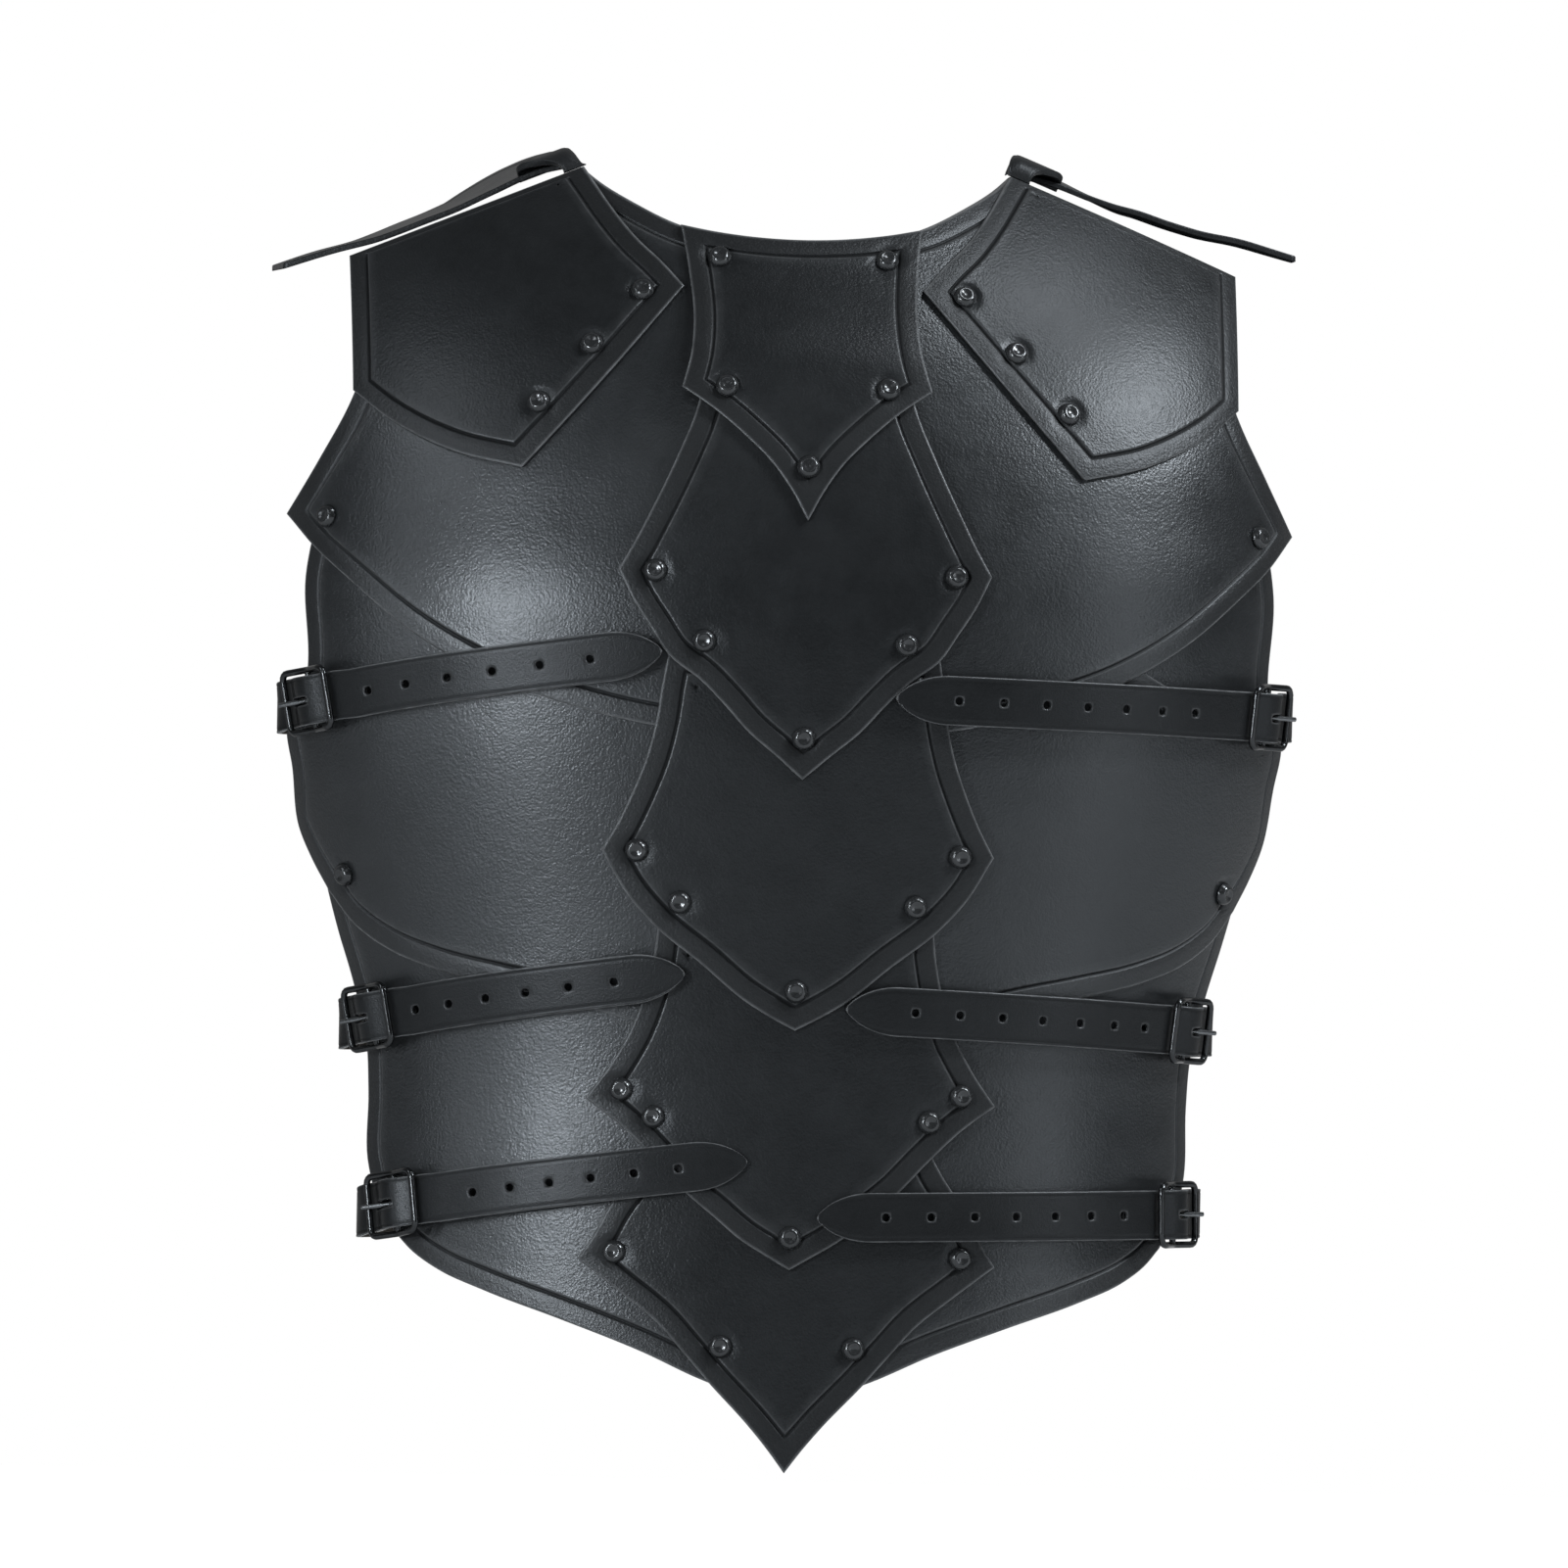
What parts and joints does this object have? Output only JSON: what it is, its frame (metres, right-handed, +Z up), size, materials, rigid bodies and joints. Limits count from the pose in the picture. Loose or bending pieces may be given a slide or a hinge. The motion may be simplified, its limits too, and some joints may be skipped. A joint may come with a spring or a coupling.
{
  "type": "chest armour",
  "caption": "Black leather chest armour: riveted sheets over a one-piece front shell, folded shoulder flaps, and belts with buckles that close round the back.",
  "frame": {"origin": "between the shoulders, level with the neck corners of the shell, on the middle line of the wearer, where the shoulders carry the armour", "axes": "+X towards the right-hand side of a front view, -Y out of the chest, +Z up"},
  "size_m": [0.46, 0.2422, 0.5912],
  "materials": {
    "shell_leather": "smooth black vegetable-tanned leather, satin",
    "panel_leather": "smooth black leather with a tooled border groove, satin",
    "plate_leather": "smooth black leather with a tooled border groove, satin, a little darker",
    "strap_leather": "black strap leather, semi-gloss, with lighter cut edges",
    "rivet_metal": "black lacquered rivet caps, satin",
    "buckle_metal": "dark gunmetal wire, polished",
    "tongue_metal": "dark steel wire, polished"
  },
  "bodies": {
    "armour": {"base_shell": "shell_leather", "pectoral_left": "panel_leather", "pectoral_right": "panel_leather", "rib_panel_left": "panel_leather", "rib_panel_right": "panel_leather", "collar_plate": "plate_leather", "breast_plate": "plate_leather", "midriff_plate": "plate_leather", "waist_plate": "plate_leather", "hem_plate": "plate_leather", "shoulder_plate_left": "plate_leather", "shoulder_plate_right": "plate_leather", "shoulder_flap_left": "plate_leather", "shoulder_flap_right": "plate_leather", "chest_belt": "strap_leather", "waist_belt": "strap_leather", "hip_belt": "strap_leather", "chest_tab_left": "strap_leather", "chest_tab_right": "strap_leather", "waist_tab_left": "strap_leather", "waist_tab_right": "strap_leather", "hip_tab_left": "strap_leather", "hip_tab_right": "strap_leather", "collar_rivets": "rivet_metal", "breast_rivets": "rivet_metal", "midriff_rivets": "rivet_metal", "waist_rivets": "rivet_metal", "hem_rivets": "rivet_metal", "shoulder_rivets_left": "rivet_metal", "shoulder_rivets_right": "rivet_metal", "pectoral_rivets": "rivet_metal", "rib_rivets": "rivet_metal", "tab_rivets_left": "rivet_metal", "tab_rivets_right": "rivet_metal"},
    "chest_frame_left": {"chest_frame_left": "buckle_metal"},
    "chest_tongue_left": {"chest_tongue_left": "tongue_metal"},
    "chest_frame_right": {"chest_frame_right": "buckle_metal"},
    "chest_tongue_right": {"chest_tongue_right": "tongue_metal"},
    "waist_frame_left": {"waist_frame_left": "buckle_metal"},
    "waist_tongue_left": {"waist_tongue_left": "tongue_metal"},
    "waist_frame_right": {"waist_frame_right": "buckle_metal"},
    "waist_tongue_right": {"waist_tongue_right": "tongue_metal"},
    "hip_frame_left": {"hip_frame_left": "buckle_metal"},
    "hip_tongue_left": {"hip_tongue_left": "tongue_metal"},
    "hip_frame_right": {"hip_frame_right": "buckle_metal"},
    "hip_tongue_right": {"hip_tongue_right": "tongue_metal"}
  },
  "joints": [
    {"name": "chest_frame_left_tilt", "type": "hinge", "parent": "armour", "child": "chest_frame_left", "pos_m": [-0.21404, -0.0644, -0.2463], "axis": [-0.1808, 0.0193, 0.9833], "range_deg": [-3, 3]},
    {"name": "chest_tongue_left_swing", "type": "hinge", "parent": "chest_frame_left", "child": "chest_tongue_left", "pos_m": [-0.21404, -0.0644, -0.2463], "axis": [-0.1808, 0.0193, 0.9833], "range_deg": [0, 75]},
    {"name": "chest_frame_right_tilt", "type": "hinge", "parent": "armour", "child": "chest_frame_right", "pos_m": [0.21283, -0.066, -0.24438], "axis": [-0.0838, 0.0673, -0.9942], "range_deg": [-3, 3]},
    {"name": "chest_tongue_right_swing", "type": "hinge", "parent": "chest_frame_right", "child": "chest_tongue_right", "pos_m": [0.21283, -0.066, -0.24438], "axis": [-0.0838, 0.0673, -0.9942], "range_deg": [0, 75]},
    {"name": "waist_frame_left_tilt", "type": "hinge", "parent": "armour", "child": "waist_frame_left", "pos_m": [-0.18336, -0.05611, -0.38682], "axis": [-0.1838, 0.0172, 0.9828], "range_deg": [-3, 3]},
    {"name": "waist_tongue_left_swing", "type": "hinge", "parent": "waist_frame_left", "child": "waist_tongue_left", "pos_m": [-0.18336, -0.05611, -0.38682], "axis": [-0.1838, 0.0172, 0.9828], "range_deg": [0, 75]},
    {"name": "waist_frame_right_tilt", "type": "hinge", "parent": "armour", "child": "waist_frame_right", "pos_m": [0.18057, -0.05954, -0.38514], "axis": [-0.0992, 0.0604, -0.9932], "range_deg": [-3, 3]},
    {"name": "waist_tongue_right_swing", "type": "hinge", "parent": "waist_frame_right", "child": "waist_tongue_right", "pos_m": [0.18057, -0.05954, -0.38514], "axis": [-0.0992, 0.0604, -0.9932], "range_deg": [0, 75]},
    {"name": "hip_frame_left_tilt", "type": "hinge", "parent": "armour", "child": "hip_frame_left", "pos_m": [-0.17171, -0.06464, -0.47001], "axis": [-0.1052, 0.0829, 0.991], "range_deg": [-3, 3]},
    {"name": "hip_tongue_left_swing", "type": "hinge", "parent": "hip_frame_left", "child": "hip_tongue_left", "pos_m": [-0.17171, -0.06464, -0.47001], "axis": [-0.1052, 0.0829, 0.991], "range_deg": [0, 75]},
    {"name": "hip_frame_right_tilt", "type": "hinge", "parent": "armour", "child": "hip_frame_right", "pos_m": [0.17653, -0.05978, -0.46755], "axis": [0.0224, 0.0194, -0.9996], "range_deg": [-3, 3]},
    {"name": "hip_tongue_right_swing", "type": "hinge", "parent": "hip_frame_right", "child": "hip_tongue_right", "pos_m": [0.17653, -0.05978, -0.46755], "axis": [0.0224, 0.0194, -0.9996], "range_deg": [0, 75]}
  ]
}
